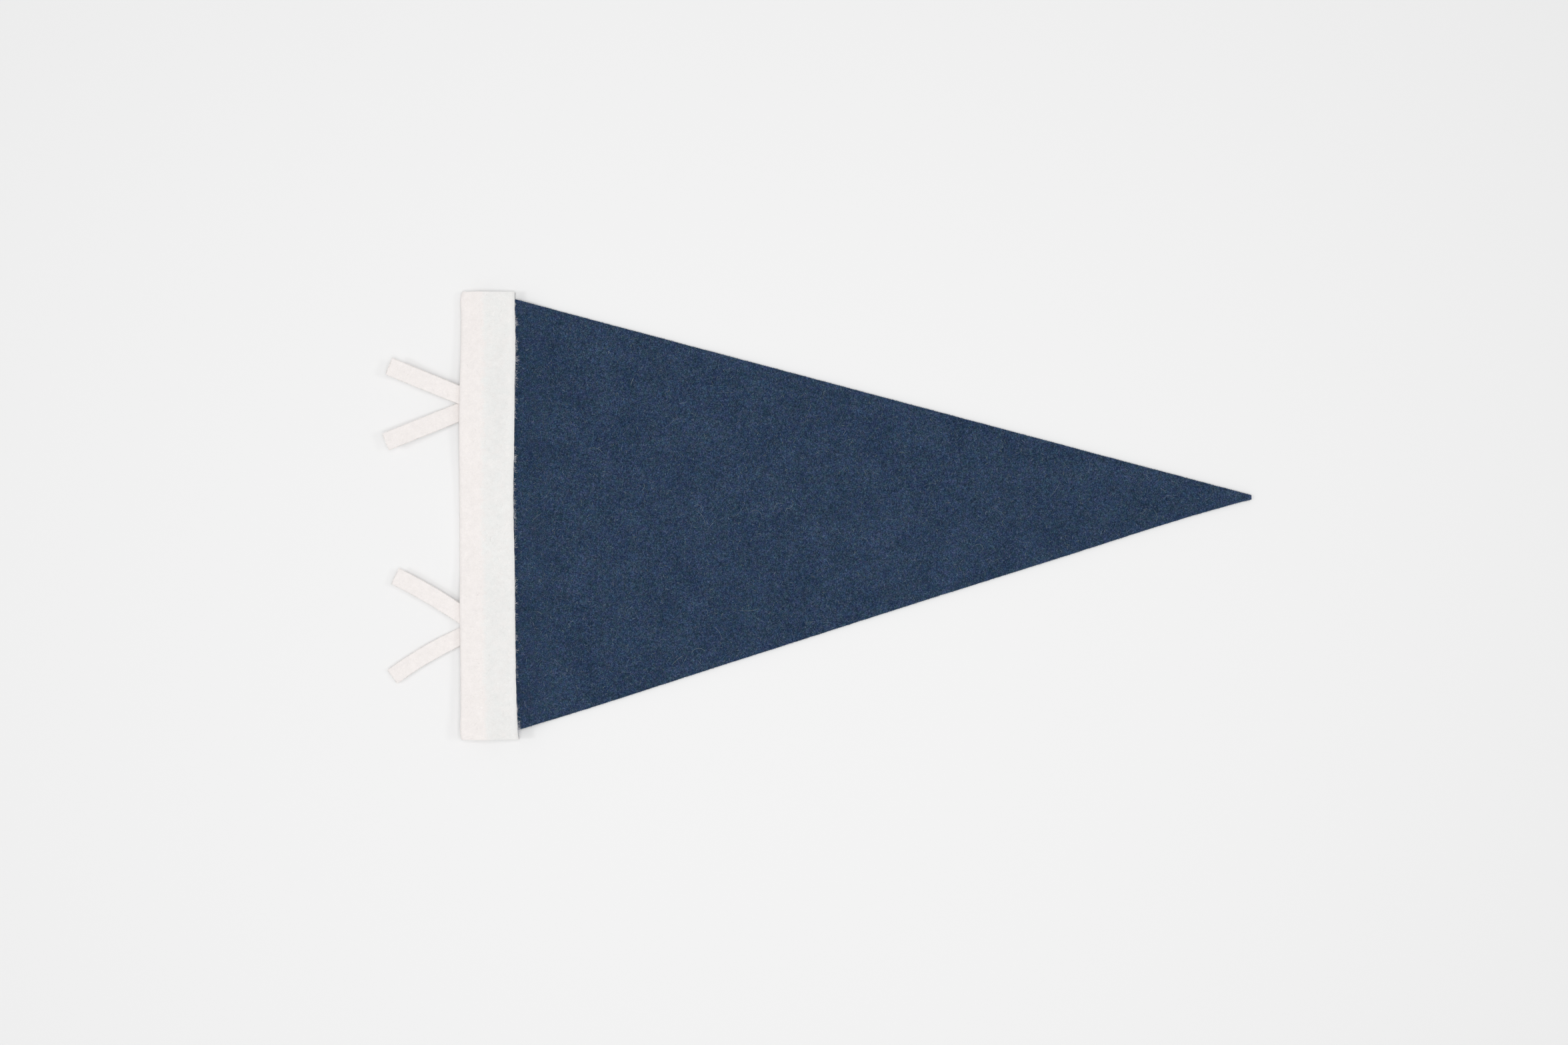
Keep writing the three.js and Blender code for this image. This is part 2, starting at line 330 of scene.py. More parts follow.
class Shades:
    """Small helpers that add nodes to one material's tree."""

    def __init__(self, name: str) -> None:
        """Starts a material with only its shader and output.

        Args:
            name: The material's name.
        """
        self.material = bpy.data.materials.new(name)
        self.material.use_nodes = True
        self.tree = self.material.node_tree
        self.shader = self.tree.nodes["Principled BSDF"]
        self.coordinates = self.tree.nodes.new("ShaderNodeTexCoord").outputs["Object"]

    def join(self, value: NodeValue, socket: bpy.types.NodeSocket) -> None:
        """Links a value into a socket, or sets it there.

        Args:
            value: Another node's output, a number or a colour.
            socket: The input that takes it.
        """
        if isinstance(value, bpy.types.NodeSocket):
            self.tree.links.new(value, socket)
        else:
            socket.default_value = value

    def set(self, **inputs: float | tuple) -> None:
        """Sets numbers and colours that are the same all over, on the shader's own sockets."""
        for name, value in inputs.items():
            self.shader.inputs[name.replace("_", " ")].default_value = value

    def noise(self, grain: Grain) -> bpy.types.NodeSocket:
        """Adds three-dimensional noise on object coordinates.

        Args:
            grain: The noise's size, strength and offset.

        Returns:
            The noise, which averages zero.
        """
        moved = self.tree.nodes.new("ShaderNodeVectorMath")
        moved.operation = "ADD"
        self.join(self.coordinates, moved.inputs[0])
        moved.inputs[1].default_value = (grain.shift, grain.shift * 0.7, grain.shift * 1.3)
        node = self.tree.nodes.new("ShaderNodeTexNoise")
        self.join(moved.outputs[0], node.inputs["Vector"])
        node.inputs["Scale"].default_value = 1.0 / (grain.size * MM)
        node.inputs["Detail"].default_value = grain.octaves
        node.inputs["Roughness"].default_value = 1.0
        node.inputs["Distortion"].default_value = grain.swirl
        return self.maths("MULTIPLY_ADD", node.outputs["Fac"], grain.strength, -grain.strength / 2.0)

    def maths(self, operation: str, *values: NodeValue) -> bpy.types.NodeSocket:
        """Adds a Math node.

        Args:
            operation: The node's operation.
            values: Its inputs, in order.

        Returns:
            The node's result.
        """
        node = self.tree.nodes.new("ShaderNodeMath")
        node.operation = operation
        for value, socket in zip(values, node.inputs):
            self.join(value, socket)
        return node.outputs[0]

    def spread(self, value: NodeValue, low: float, high: float, clamp: bool = True) -> bpy.types.NodeSocket:
        """Maps a range to 0 to 1.

        Args:
            value: What is mapped.
            low: The value that becomes 0.
            high: The value that becomes 1.
            clamp: Whether the result stays from 0 to 1.

        Returns:
            The mapped value.
        """
        node = self.tree.nodes.new("ShaderNodeMapRange")
        node.clamp = clamp
        self.join(value, node.inputs["Value"])
        node.inputs["From Min"].default_value = low
        node.inputs["From Max"].default_value = high
        return node.outputs["Result"]

    def blend(self, share: NodeValue, first: NodeValue, second: NodeValue,
              clamp: bool = True) -> bpy.types.NodeSocket:
        """Mixes two colours.

        Args:
            share: Share of the second colour.
            first: The first colour.
            second: The second colour.
            clamp: Whether the share stays from 0 to 1.

        Returns:
            The mixed colour.
        """
        node = self.tree.nodes.new("ShaderNodeMix")
        node.data_type = "RGBA"
        node.clamp_factor = clamp
        for value, socket in zip((share, first, second), (node.inputs[0], node.inputs[6], node.inputs[7])):
            self.join(value, socket)
        return node.outputs[2]

    def vector(self, operation: str, first: NodeValue, second: NodeValue) -> bpy.types.NodeSocket:
        """Adds a Vector Math node on two colours, or on a colour and a number.

        Args:
            operation: The node's operation.
            first: A colour.
            second: A colour, or the number that scales the first.

        Returns:
            The node's result.
        """
        node = self.tree.nodes.new("ShaderNodeVectorMath")
        node.operation = operation
        self.join(first[:3] if isinstance(first, tuple) else first, node.inputs[0])
        self.join(second, node.inputs["Scale"] if operation == "SCALE" else node.inputs[1])
        return node.outputs[0]

    def bump(self, height: NodeValue, distance: float) -> None:
        """Raises the surface's shading by a height map.

        Args:
            height: The height map.
            distance: Height of a value of 1, in millimetres.
        """
        node = self.tree.nodes.new("ShaderNodeBump")
        node.inputs["Distance"].default_value = distance * MM
        self.join(height, node.inputs["Height"])
        self.join(node.outputs["Normal"], self.shader.inputs["Normal"])


@dataclass(frozen=True)
class NavyFelt:
    """Heathered navy felt: dark and light wool blended, some of it teal, plum, olive or violet.

    The shade is an exponent of four noises, from clouds down to single fibres. Dark and light
    are the screen colours at shades of minus and plus the swing.
    """

    dark: tuple[float, float, float] = (30.2, 48.4, 70.4)
    light: tuple[float, float, float] = (51.2, 70.1, 92.6)
    swing: float = 0.35
    deepest: float = 0.35
    cloud: Grain = Grain(24.0, 0.58)
    mottle: Grain = Grain(5.5, 0.36, shift=0.11)
    tuft: Grain = Grain(1.4, 1.1, shift=0.17, swirl=0.4)
    speck: Grain = Grain(0.45, 2.3, shift=0.29, octaves=0.0)
    cast: Grain = Grain(2.4, 4.2, shift=0.37)
    tinge: Grain = Grain(2.8, 4.2, shift=0.59)
    wash: Grain = Grain(12.0, 0.9, shift=0.83)
    teal: tuple[float, float, float] = (0.9, 1.03, 1.0)
    plum: tuple[float, float, float] = (1.13, 0.96, 1.03)
    olive: tuple[float, float, float] = (1.01, 1.01, 0.9)
    violet: tuple[float, float, float] = (0.99, 0.99, 1.1)
    relief: float = 0.12

    def material(self) -> bpy.types.Material:
        """Builds the felt's material.

        Returns:
            The material.
        """
        s = Shades("navy_felt")
        tuft = s.noise(self.tuft)
        shade = s.maths("ADD", tuft, s.noise(self.speck))
        for grain in (self.cloud, self.mottle):
            shade = s.maths("ADD", shade, s.noise(grain))
        level = s.maths("MAXIMUM", s.maths("EXPONENT", shade), self.deepest)
        share = s.spread(level, math.exp(-self.swing), math.exp(self.swing), clamp=False)
        colour = s.blend(share, linear(*self.dark), linear(*self.light), clamp=False)
        casts = (
            (self.cast, self.teal, self.plum),
            (self.tinge, self.olive, self.violet),
            (self.wash, self.teal, self.plum),
        )
        for grain, cool, warm in casts:
            hue = s.maths("ADD", s.noise(grain), 0.5)
            colour = s.vector("MULTIPLY", colour, s.blend(hue, (*cool, 1.0), (*warm, 1.0)))
        s.join(colour, s.shader.inputs["Base Color"])
        s.set(Roughness=0.97, Specular_IOR_Level=0.12, Sheen_Weight=0.06, Sheen_Roughness=0.6)
        s.set(Sheen_Tint=(0.6, 0.7, 0.85, 1.0))
        s.bump(tuft, self.relief)
        return s.material


@dataclass(frozen=True)
class WhiteFelt:
    """Warm white felt. Where it lies over the navy felt, a little of the navy shows through."""

    base: tuple[float, float, float] = (243.4, 238.3, 236.0)
    over_navy: tuple[float, float, float] = (238.2, 237.2, 235.4)
    blotch: Grain = Grain(3.6, 0.1, shift=0.23)
    grain: Grain = Grain(0.8, 0.12, shift=0.41, swirl=0.4)
    wander: Grain = Grain(3.6, 5.0, shift=0.23)
    patch: Grain = Grain(5.0, 1.2, shift=0.67)
    patch_mean: float = 1.05
    step: float = 1.1
    # Width and depth of the painted shade at the lap's cut edge, standing in for the shading of the edge's
    # rounded top
    painted_shade_width: float = 1.9
    painted_edge_shade: float = 0.075
    relief: float = 0.7

    def lapped(self, s: Shades, lap_width: float) -> tuple[bpy.types.NodeSocket, bpy.types.NodeSocket]:
        """Tints the lap, in patches, and paints shade on it towards its cut edge, where the edge's rounded top
        would be shaded.

        Args:
            s: The material's nodes.
            lap_width: Width of the lap, in millimetres.

        Returns:
            The colour, and the painted shade that its tone loses at the cut edge.
        """
        lap_map = s.tree.nodes.new("ShaderNodeUVMap")
        lap_map.uv_map = Header.LAP_MAP
        split = s.tree.nodes.new("ShaderNodeSeparateXYZ")
        s.join(lap_map.outputs["UV"], split.inputs[0])
        wander = s.noise(self.wander)
        inside = s.spread(s.maths("ADD", split.outputs[0], wander), -self.step, self.step)
        patches = s.maths("ADD", s.noise(self.patch), self.patch_mean)
        over = s.maths("MULTIPLY", inside, patches)
        colour = s.blend(over, linear(*self.base), linear(*self.over_navy), clamp=False)
        # Painted shade: the white darkens over the last millimetres before the cut edge, along a ragged line
        ragged = s.maths("MULTIPLY_ADD", wander, 0.5, split.outputs[0])
        near = s.spread(ragged, lap_width - self.painted_shade_width, lap_width)
        return colour, s.maths("MULTIPLY", s.maths("MULTIPLY", near, near), self.painted_edge_shade)

    def material(self, name: str, lap_width: float = 0.0) -> bpy.types.Material:
        """Builds the felt's material.

        Args:
            name: The material's name.
            lap_width: Width over which it lies on navy felt, in millimetres, or 0.

        Returns:
            The material.
        """
        s = Shades(name)
        grain = s.noise(self.grain)
        shade = s.maths("ADD", s.maths("ADD", grain, s.noise(self.blotch)), 1.0)
        colour = linear(*self.base)
        if lap_width:
            # The painted edge shade is taken off the felt's tone
            colour, painted_edge_loss = self.lapped(s, lap_width)
            shade = s.maths("SUBTRACT", shade, painted_edge_loss)
        s.join(s.vector("SCALE", colour, shade), s.shader.inputs["Base Color"])
        s.set(Roughness=0.95, Specular_IOR_Level=0.12, Sheen_Weight=0.3, Sheen_Roughness=0.5)
        s.bump(grain, self.relief)
        return s.material


@dataclass(frozen=True)
class LooseWool:
    """The loose fibres of a felt, whose shade is in the fibres' own attribute."""

    TINT = "fibre_tint"

    name: str
    uneven: Grain = Grain(0.9, 0.5, shift=0.19, octaves=0.0)

    def material(self) -> bpy.types.Material:
        """Builds the fibres' material.

        Returns:
            The material.
        """
        s = Shades(self.name)
        tint = s.tree.nodes.new("ShaderNodeAttribute")
        tint.attribute_name = self.TINT
        shade = s.maths("ADD", s.noise(self.uneven), 1.0)
        s.join(s.vector("SCALE", tint.outputs["Color"], shade), s.shader.inputs["Base Color"])
        s.set(Roughness=0.8, Specular_IOR_Level=0.2)
        return s.material


class Lie(Enum):
    """How a sheet of the flag lies."""

    LAID = "laid"
    FOLDED = "folded"


@dataclass
class Sheet:
    """One cut piece of felt: a grid laid on the piece's middle surface and given its thickness."""

    name: str
    node: str
    slot: str
    thickness: float
    columns: int
    rows: int
    origin: tuple[float, float] = (0.0, 0.0)
    lie: Lie = Lie.FOLDED

    ROUNDING = 0.22
    ROUND_STEPS = 2
    CORNER_ANGLE = math.radians(50)

    def middle(self, u: np.ndarray, v: np.ndarray) -> np.ndarray:
        """Works out the middle surface.

        Args:
            u: Shares of the way along the grid's columns.
            v: Shares of the way along its rows.

        Returns:
            Points in millimetres, in the flag's drawing frame.
        """
        raise NotImplementedError

    def face(self, a: np.ndarray, b: np.ndarray) -> np.ndarray:
        """Works out the face that shows, on the sheet's own coordinates.

        Args:
            a: Places along the sheet, in millimetres.
            b: Places across it, in millimetres.

        Returns:
            Points in millimetres, in the flag's drawing frame.
        """
        raise NotImplementedError

    def spots(self, rng: np.random.Generator, count: int) -> np.ndarray:
        """Draws random places on the face that shows.

        Args:
            rng: The seeded generator.
            count: How many places.

        Returns:
            One row of the sheet's two coordinates for each.
        """
        raise NotImplementedError

    def covers(self, a: np.ndarray, b: np.ndarray) -> np.ndarray:
        """Tells which places lie on the face that shows.

        Args:
            a: Places along the sheet, in millimetres.
            b: Places across it, in millimetres.

        Returns:
            True for each place that does.
        """
        raise NotImplementedError

    def rim(self, share: np.ndarray) -> tuple[np.ndarray, np.ndarray]:
        """Works out places on the cut edges that show.

        Args:
            share: Shares of the way along those edges.

        Returns:
            One row of two coordinates for each, and the outward headings in radians.
        """
        raise NotImplementedError

    def map_lap(self, mesh: bpy.types.Mesh, points: np.ndarray) -> None:
        """Adds the maps that the sheet's finish needs. A plain sheet needs none."""

    def cut_size(self) -> tuple[float, float, float]:
        """Works out the piece as it was cut, before it was folded or laid.

        Returns:
            Width, length and area, in millimetres and square millimetres.
        """
        raise NotImplementedError

    def declare(self, piece: bpy.types.Object, on: list[str], loose: list[bpy.types.Object]) -> None:
        """Args:
            piece: The finished sheet. Not used.
            on: Names of the nodes that it lies on. Not used.
            loose: The fibres that go with it. Not used.
        """
        width, length, area = self.cut_size()
        log.info("%s: cut %.1f by %.1f mm, %.0f square mm", self.name, width, length, area)

    def placed(self, points: np.ndarray) -> np.ndarray:
        """Turns drawing points in millimetres into the frame's metres."""
        return (points * MM) + np.array([self.origin[0], self.origin[1], 0.0])

    def build(self, material: bpy.types.Material) -> bpy.types.Object:
        """Makes the piece and puts it in place of its solid.

        Args:
            material: The felt's material.

        Returns:
            The finished object.
        """
        bm = bmesh.new()
        bmesh.ops.create_grid(bm, x_segments=self.columns, y_segments=self.rows, size=0.5)
        mesh = bpy.data.meshes.new(self.name)
        bm.to_mesh(mesh)
        bm.free()
        flat = np.empty(len(mesh.vertices) * 3)
        mesh.vertices.foreach_get("co", flat)
        flat = flat.reshape(-1, 3)
        points = self.placed(self.middle(flat[:, 0] + 0.5, flat[:, 1] + 0.5))
        mesh.vertices.foreach_set("co", points.ravel())
        mesh.update()
        self.map_lap(mesh, points)
        mesh.shade_smooth()
        mesh.materials.append(material)
        piece = bpy.data.objects.new(self.name, mesh)
        bpy.context.collection.objects.link(piece)
        body = piece.modifiers.new("thickness", "SOLIDIFY")
        body.thickness = self.thickness * MM
        body.offset = 0.0
        body.use_rim = True
        edge = piece.modifiers.new("rounded_edge", "BEVEL")
        edge.width = self.ROUNDING * MM
        edge.segments = self.ROUND_STEPS
        edge.limit_method = "ANGLE"
        edge.angle_limit = self.CORNER_ANGLE
        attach(piece, ROOT)
        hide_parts(self.node)
        log.info("%s: %d faces before thickness", self.name, len(mesh.polygons))
        return piece


@dataclass
class Header(Sheet):
    """The white strip folded over the hoist edge."""

    LAP_MAP = "lap_map"

    half_length: float = 106.95
    fold_gap: float = 0.6
    fold_reach: float = 1.5
    lift_flat_to: float = 10.5
    lap: float = 14.4
    cut_past: float = 0.3
    roughness: float = 0.06
    fray: float = 0.06
    wave: float = 0.1

    def __post_init__(self) -> None:
        """Reads the hoist's table."""
        curves = columns_of(HOIST_ROWS)
        self.bend = (self.fold_gap + FELT) / 2.0
        self.fold, self.cut, self.fold_lift = curves["fold"], curves["cut"], curves["fold_lift"]
        self.raw_cut_lift = curves["cut_lift"]
        self.waves = Unevenness(11, 9.0)
        self.nibbles = Unevenness(12, 3.4)
        self.frays = Unevenness(13, 1.3)

    def worn_cut(self, y: np.ndarray) -> np.ndarray:
        """Where along X the cut edge lies once it is worn and frayed, in millimetres."""
        along = np.zeros_like(y)
        wear = self.roughness * self.nibbles(along, y) + self.fray * self.frays(along, y)
        return self.cut(y) + self.cut_past + wear

    def under(self, x: np.ndarray, y: np.ndarray) -> np.ndarray:
        """Height of the header's underside above the table, in millimetres."""
        tilt = 1.0 - smoothstep(x, self.lift_flat_to, self.cut(y))
        return mix(np.maximum(self.raw_cut_lift(y), 0.0), self.fold_lift(y), tilt)

    def cut_size(self) -> tuple[float, float, float]:
        """Works out the strip's width round the fold, its length and its area."""
        y = np.linspace(-self.half_length, self.half_length, 200)
        layer = self.cut(y) + self.cut_past - self.fold_centre(y)
        widths = 2.0 * layer + math.pi * math.hypot(self.bend, self.fold_reach) / math.sqrt(2.0)
        length = 2.0 * self.half_length
        return float(widths.max()), length, float(widths.mean()) * length

    def spread(self, x: np.ndarray, centre: np.ndarray) -> np.ndarray:
        """Distance between the middles of the header's two layers, in millimetres."""
        closed, open_ = self.fold_gap + FELT, 2.0 * (FELT + GAP)
        return mix(closed, open_, smoothstep(x, centre, self.lift_flat_to))

    def rise(self, x: np.ndarray, y: np.ndarray, centre: np.ndarray) -> np.ndarray:
        """Height of the upper layer's middle above the lower layer's, in millimetres."""
        return self.spread(x, centre) + self.wave * self.waves(x, y) * smoothstep(x, centre, centre + 4.0)

    def fold_centre(self, y: np.ndarray) -> np.ndarray:
        """Where along X the fold's round begins, in millimetres."""
        return self.fold(y) + FELT / 2.0 + self.fold_reach

    def middle(self, u: np.ndarray, v: np.ndarray) -> np.ndarray:
        """Works out the strip's middle, from the lower cut edge round the fold to the upper one."""
        y = mix(-self.half_length, self.half_length, v)
        centre = self.fold_centre(y)
        cut = self.worn_cut(y)
        lower_share, upper_share = 0.36, 0.5
        lower = u < lower_share
        upper = u > upper_share
        turn = np.clip((u - lower_share) / (upper_share - lower_share), 0.0, 1.0) * math.pi
        run = np.where(lower, u / lower_share, np.where(upper, (1.0 - u) / (1.0 - upper_share), 1.0))
        x = np.where(lower | upper, mix(cut, centre, run), centre - self.fold_reach * np.sin(turn))
        base = self.under(np.where(lower | upper, x, centre), y) + FELT / 2.0
        z = base + np.where(upper, self.rise(x, y, centre), self.bend * (1.0 - np.cos(turn)) * ~lower)
        return np.stack([x, y, z], axis=1)

    def face(self, a: np.ndarray, b: np.ndarray) -> np.ndarray:
        """Works out the upper layer's face, on X and Y."""
        z = self.under(a, b) + FELT + self.rise(a, b, self.fold_centre(b))
        return np.stack([a, b, z], axis=-1)

    def spots(self, rng: np.random.Generator, count: int) -> np.ndarray:
        """Draws places between the fold's round and the cut edge."""
        y = rng.uniform(-self.half_length, self.half_length, count)
        return np.stack([rng.uniform(self.fold_centre(y), self.cut(y)), y], axis=1)

    def covers(self, a: np.ndarray, b: np.ndarray) -> np.ndarray:
        """Tells which places lie between the fold's round, the cut edge and the ends."""
        return (a > self.fold_centre(b)) & (a < self.cut(b)) & (np.abs(b) < self.half_length)

    def rim(self, share: np.ndarray) -> tuple[np.ndarray, np.ndarray]:
        """Works out places on the cut edge."""
        y = mix(-self.half_length, self.half_length, share)
        return np.stack([self.worn_cut(y), y], axis=1), np.zeros(len(share))

    def map_lap(self, mesh: bpy.types.Mesh, points: np.ndarray) -> None:
        """Maps each point's distance inside the navy felt's hoist edge, in millimetres.

        Args:
            mesh: The strip's mesh.
            points: Its points in the frame, in metres.
        """
        x, y = (points[:, 0] - self.origin[0]) / MM, points[:, 1] / MM
        inside = x - (self.cut(y) - self.lap)
        corners = np.empty(len(mesh.loops), int)
        mesh.loops.foreach_get("vertex_index", corners)
        lap = mesh.uv_layers.new(name=self.LAP_MAP)
        lap.data.foreach_set("uv", np.stack([inside[corners], y[corners]], axis=1).ravel())


@dataclass
class Field(Sheet):
    """The navy triangle, its hoist edge tucked into the header."""

    header: Header | None = None
    hoist_x: float = 11.2
    tip_x: float = 379.2
    tip_y: float = 8.7
    tip_width: float = 2.0
    half_hoist: float = 107.6
    ramp: float = 20.0
    roughness: float = 0.08
    wave: float = 0.06
    edge_inset: float = 0.05
    edge_from: float = 2.5
    tucked: float = 0.7

    def __post_init__(self) -> None:
        """Reads the lower edge's table."""
        self.inside = columns_of(LOWER_EDGE_ROWS)["inside"]
        self.nibbles = Unevenness(21, 3.0)
        self.waves = Unevenness(22, 26.0)

    def cut_size(self) -> tuple[float, float, float]:
        """Works out the triangle's hoist, its length and its area."""
        x = np.linspace(self.hoist_x, self.tip_x, 400)
        lower, upper = self.edges(x)
        length = self.tip_x - self.hoist_x
        inmost = self.header.half_length - self.tucked
        width = np.minimum(upper, inmost) - np.maximum(lower, -inmost)
        return 2.0 * inmost, length, float(width.mean()) * length

    def edges(self, x: np.ndarray) -> tuple[np.ndarray, np.ndarray]:
        """Works out the long edges.

        Args:
            x: Places along the flag, in millimetres.

        Returns:
            The lower edge's and the upper edge's Y, in millimetres.
        """
        run = (x - self.hoist_x) / (self.tip_x - self.hoist_x)
        lower = mix(-self.half_hoist, self.tip_y - self.tip_width / 2.0, run) + self.inside(x)
        upper = mix(self.half_hoist, self.tip_y + self.tip_width / 2.0, run)
        return lower, upper

    def under(self, x: np.ndarray, y: np.ndarray) -> np.ndarray:
        """Height of the field's underside above the table, in millimetres."""
        cut = self.header.cut(y)
        held = self.header.under(np.minimum(x, cut), y) + FELT + GAP
        return held * (1.0 - smoothstep(x, cut, cut + self.ramp))

    def bed(self, x: np.ndarray, y: np.ndarray) -> np.ndarray:
        """Height of the triangle's underside, with its slight waves, in millimetres."""
        lying = smoothstep(x, 50.0, 90.0)
        return self.under(x, y) + self.wave * (self.waves(x, y) + 1.0) * lying

    def middle(self, u: np.ndarray, v: np.ndarray) -> np.ndarray:
        """Works out the triangle's middle surface."""
        x = mix(self.hoist_x, self.tip_x, u)
        lower, upper = self.edges(x)
        rough = self.roughness * smoothstep(x, 30.0, 40.0)
        inmost = self.header.half_length - self.tucked
        lower = np.maximum(lower + rough * self.nibbles(x, x * 0.0), -inmost)
        upper = np.minimum(upper + rough * self.nibbles(x, x * 0.0 + 40.0), inmost)
        y = mix(lower, upper, v)
        return np.stack([x, y, self.bed(x, y) + FELT / 2.0], axis=1)

    def face(self, a: np.ndarray, b: np.ndarray) -> np.ndarray:
        """Works out the triangle's upper face, on X and Y."""
        return np.stack([a, b, self.bed(a, b) + FELT], axis=-1)

    def spots(self, rng: np.random.Generator, count: int) -> np.ndarray:
        """Draws places all over the triangle, as many on each square millimetre."""
        run = 1.0 - np.sqrt(rng.uniform(0.0, 1.0, count))
        x = mix(self.hoist_x, self.tip_x, run)
        lower, upper = self.edges(x)
        return np.stack([x, rng.uniform(lower, upper)], axis=1)

    def covers(self, a: np.ndarray, b: np.ndarray) -> np.ndarray:
        """Tells which places lie inside the long edges, past the header and before the tip."""
        lower, upper = self.edges(a)
        inside = (b > lower + self.edge_inset) & (b < upper - self.edge_inset)
        return inside & (a > self.header.cut(b)) & (a < self.tip_x)

    def rim(self, share: np.ndarray) -> tuple[np.ndarray, np.ndarray]:
        """Works out places on the two long edges, past the header."""
        is_upper = share < 0.5
        x = mix(self.header.cut(0.0) + self.edge_from, self.tip_x, share * 2.0 % 1.0)
        lower, upper = self.edges(x)
        outward = np.where(is_upper, math.pi / 2.0, -math.pi / 2.0)
        return np.stack([x, np.where(is_upper, upper, lower)], axis=1), outward


@dataclass
class Tie(Sheet):
    """A narrow strip folded once into a V, along a crease parallel to the hoist."""

    crease: tuple[float, float] = (0.0, 0.0)
    legs: tuple[Leg, ...] = ()
    crease_part: float = 2.5
    square_from: float = 9.0
    narrowest_cut: float = 10.0
    shown_from: float = 8.0
    past_end: float = 2.0
    cup: float = 0.12

    def cut_size(self) -> tuple[float, float, float]:
        """Works out the strip's length and area, and gives narrowest_cut as its width. Inside
        the narrowest cut that a sheet may have.
        """
        area = sum(leg.width * leg.length for leg in self.legs)
        return self.narrowest_cut, sum(leg.length for leg in self.legs), area

    def __post_init__(self) -> None:
        """Lays the strip open: its centre line, heading and height at fine steps."""
        upper, lower = self.legs
        curves = [columns_of(leg.rows) for leg in self.legs]
        count = 600
        self.first, self.last = -upper.length, lower.length
        self.along = np.linspace(self.first - self.past_end, self.last + self.past_end, count)
        is_lower = self.along >= 0.0
        away = np.abs(self.along)
        self.heading = np.radians(np.where(is_lower, curves[1]["heading"](away), curves[0]["heading"](away)))
        rises = [curve["height"](away) - curve["height"](0.0) for curve in curves]
        self.rise = np.where(is_lower, rises[1], rises[0])
        self.half_width = np.where(is_lower, lower.width, upper.width) / 2.0
        step = np.gradient(self.along)
        at_crease = np.searchsorted(self.along, 0.0)
        x, y = np.cumsum(np.cos(self.heading) * step), -np.cumsum(np.sin(self.heading) * step)
        self.centre_x, self.centre_y = x - x[at_crease], y - y[at_crease]
        self.fold_height = (upper.rows[0].height + lower.rows[0].height) / 2.0
        self.bend = (upper.rows[0].height - lower.rows[0].height) / 2.0
        self.curl = Unevenness(31 + int(abs(self.crease[1])), 12.0)

    def half_at(self, s: np.ndarray) -> np.ndarray:
        """Half the strip's width at places along it, in millimetres."""
        return np.interp(s, self.along, self.half_width)

    def lay(self, s: np.ndarray, w: np.ndarray) -> np.ndarray:
        """Lays a place of the open strip where it is once the strip is folded.

        Args:
            s: Places along the strip from the crease, in millimetres. The lower leg is positive.
            w: Places across it from its centre line, in millimetres.

        Returns:
            Points of the strip's middle, in millimetres, in the flag's drawing frame.
        """
        angle, rise, x, y = (
            np.interp(s, self.along, column)
            for column in (self.heading, self.rise, self.centre_x, self.centre_y)
        )
        slant = angle * smoothstep(np.abs(s), self.crease_part, self.square_from)
        across = w / np.cos(angle - slant)
        open_x, open_y = x + np.sin(slant) * across, y + np.cos(slant) * across
        quarter = math.pi * self.bend / 2.0
        away = np.maximum(np.abs(open_x) - quarter, 0.0)
        turn = np.clip(open_x / self.bend, -math.pi / 2.0, math.pi / 2.0)
        folded_x = self.crease[0] + self.bend * np.cos(turn) - away
        z = self.fold_height - self.bend * np.sin(turn) + rise
        z = z + self.cup * smoothstep(np.abs(s), 14.0, 30.0) * (w / self.half_at(s)) ** 2
        return np.stack([folded_x, self.crease[1] + open_y, z], axis=-1)

    def middle(self, u: np.ndarray, v: np.ndarray) -> np.ndarray:
        """Works out the strip's middle, with more columns near the crease."""
        eased = 2.0 * u - 1.0
        reach = np.where(eased < 0.0, -self.first, self.last)
        s = reach * (0.55 * eased + 0.45 * eased**3)
        uneven = 1.0 + 0.012 * self.curl(s, v * 0.0)
        return self.lay(s, (1.0 - 2.0 * v) * self.half_at(s) * uneven)

    def face(self, a: np.ndarray, b: np.ndarray) -> np.ndarray:
        """Works out the legs' upper faces, on places along and across the strip."""
        return self.lay(a, b) + np.array([0.0, 0.0, TIE_FELT / 2.0])

    def spots(self, rng: np.random.Generator, count: int) -> np.ndarray:
        """Draws places on the parts of the legs that show."""
        s = rng.uniform(self.shown_from, self.last, count)
        s = np.where(rng.uniform(0.0, 1.0, count) < 0.5, -s, s)
        return np.stack([s, rng.uniform(-1.0, 1.0, count) * self.half_at(s)], axis=1)

    def covers(self, a: np.ndarray, b: np.ndarray) -> np.ndarray:
        """Tells which places lie on the parts of the legs that show."""
        shown = (np.abs(a) > self.shown_from) & (a > self.first) & (a < self.last)
        return shown & (np.abs(b) < self.half_at(a))

    def rim(self, share: np.ndarray) -> tuple[np.ndarray, np.ndarray]:
        """Works out places on the legs' four long edges, past the crease, and on their two ends.

        Args:
            share: Shares of the way along those edges. The last fifth lies on the ends.

        Returns:
            One row of two coordinates for each, and the outward headings in radians.
        """
        edge = np.floor(share * 5.0)
        run = share * 5.0 - edge
        at_end = edge > 3.0
        on_upper = np.where(at_end, run < 0.5, edge < 2.0)
        end = np.where(on_upper, self.first, self.last)
        side = np.where(edge % 2.0 < 1.0, 1.0, -1.0)
        s = np.where(at_end, end, mix(np.copysign(self.shown_from, end), end, run))
        across = np.where(at_end, run * 2.0 % 1.0 * 2.0 - 1.0, side)
        outward = np.where(at_end, np.where(on_upper, math.pi, 0.0), side * math.pi / 2.0)
        return np.stack([s, across * self.half_at(s)], axis=1), outward


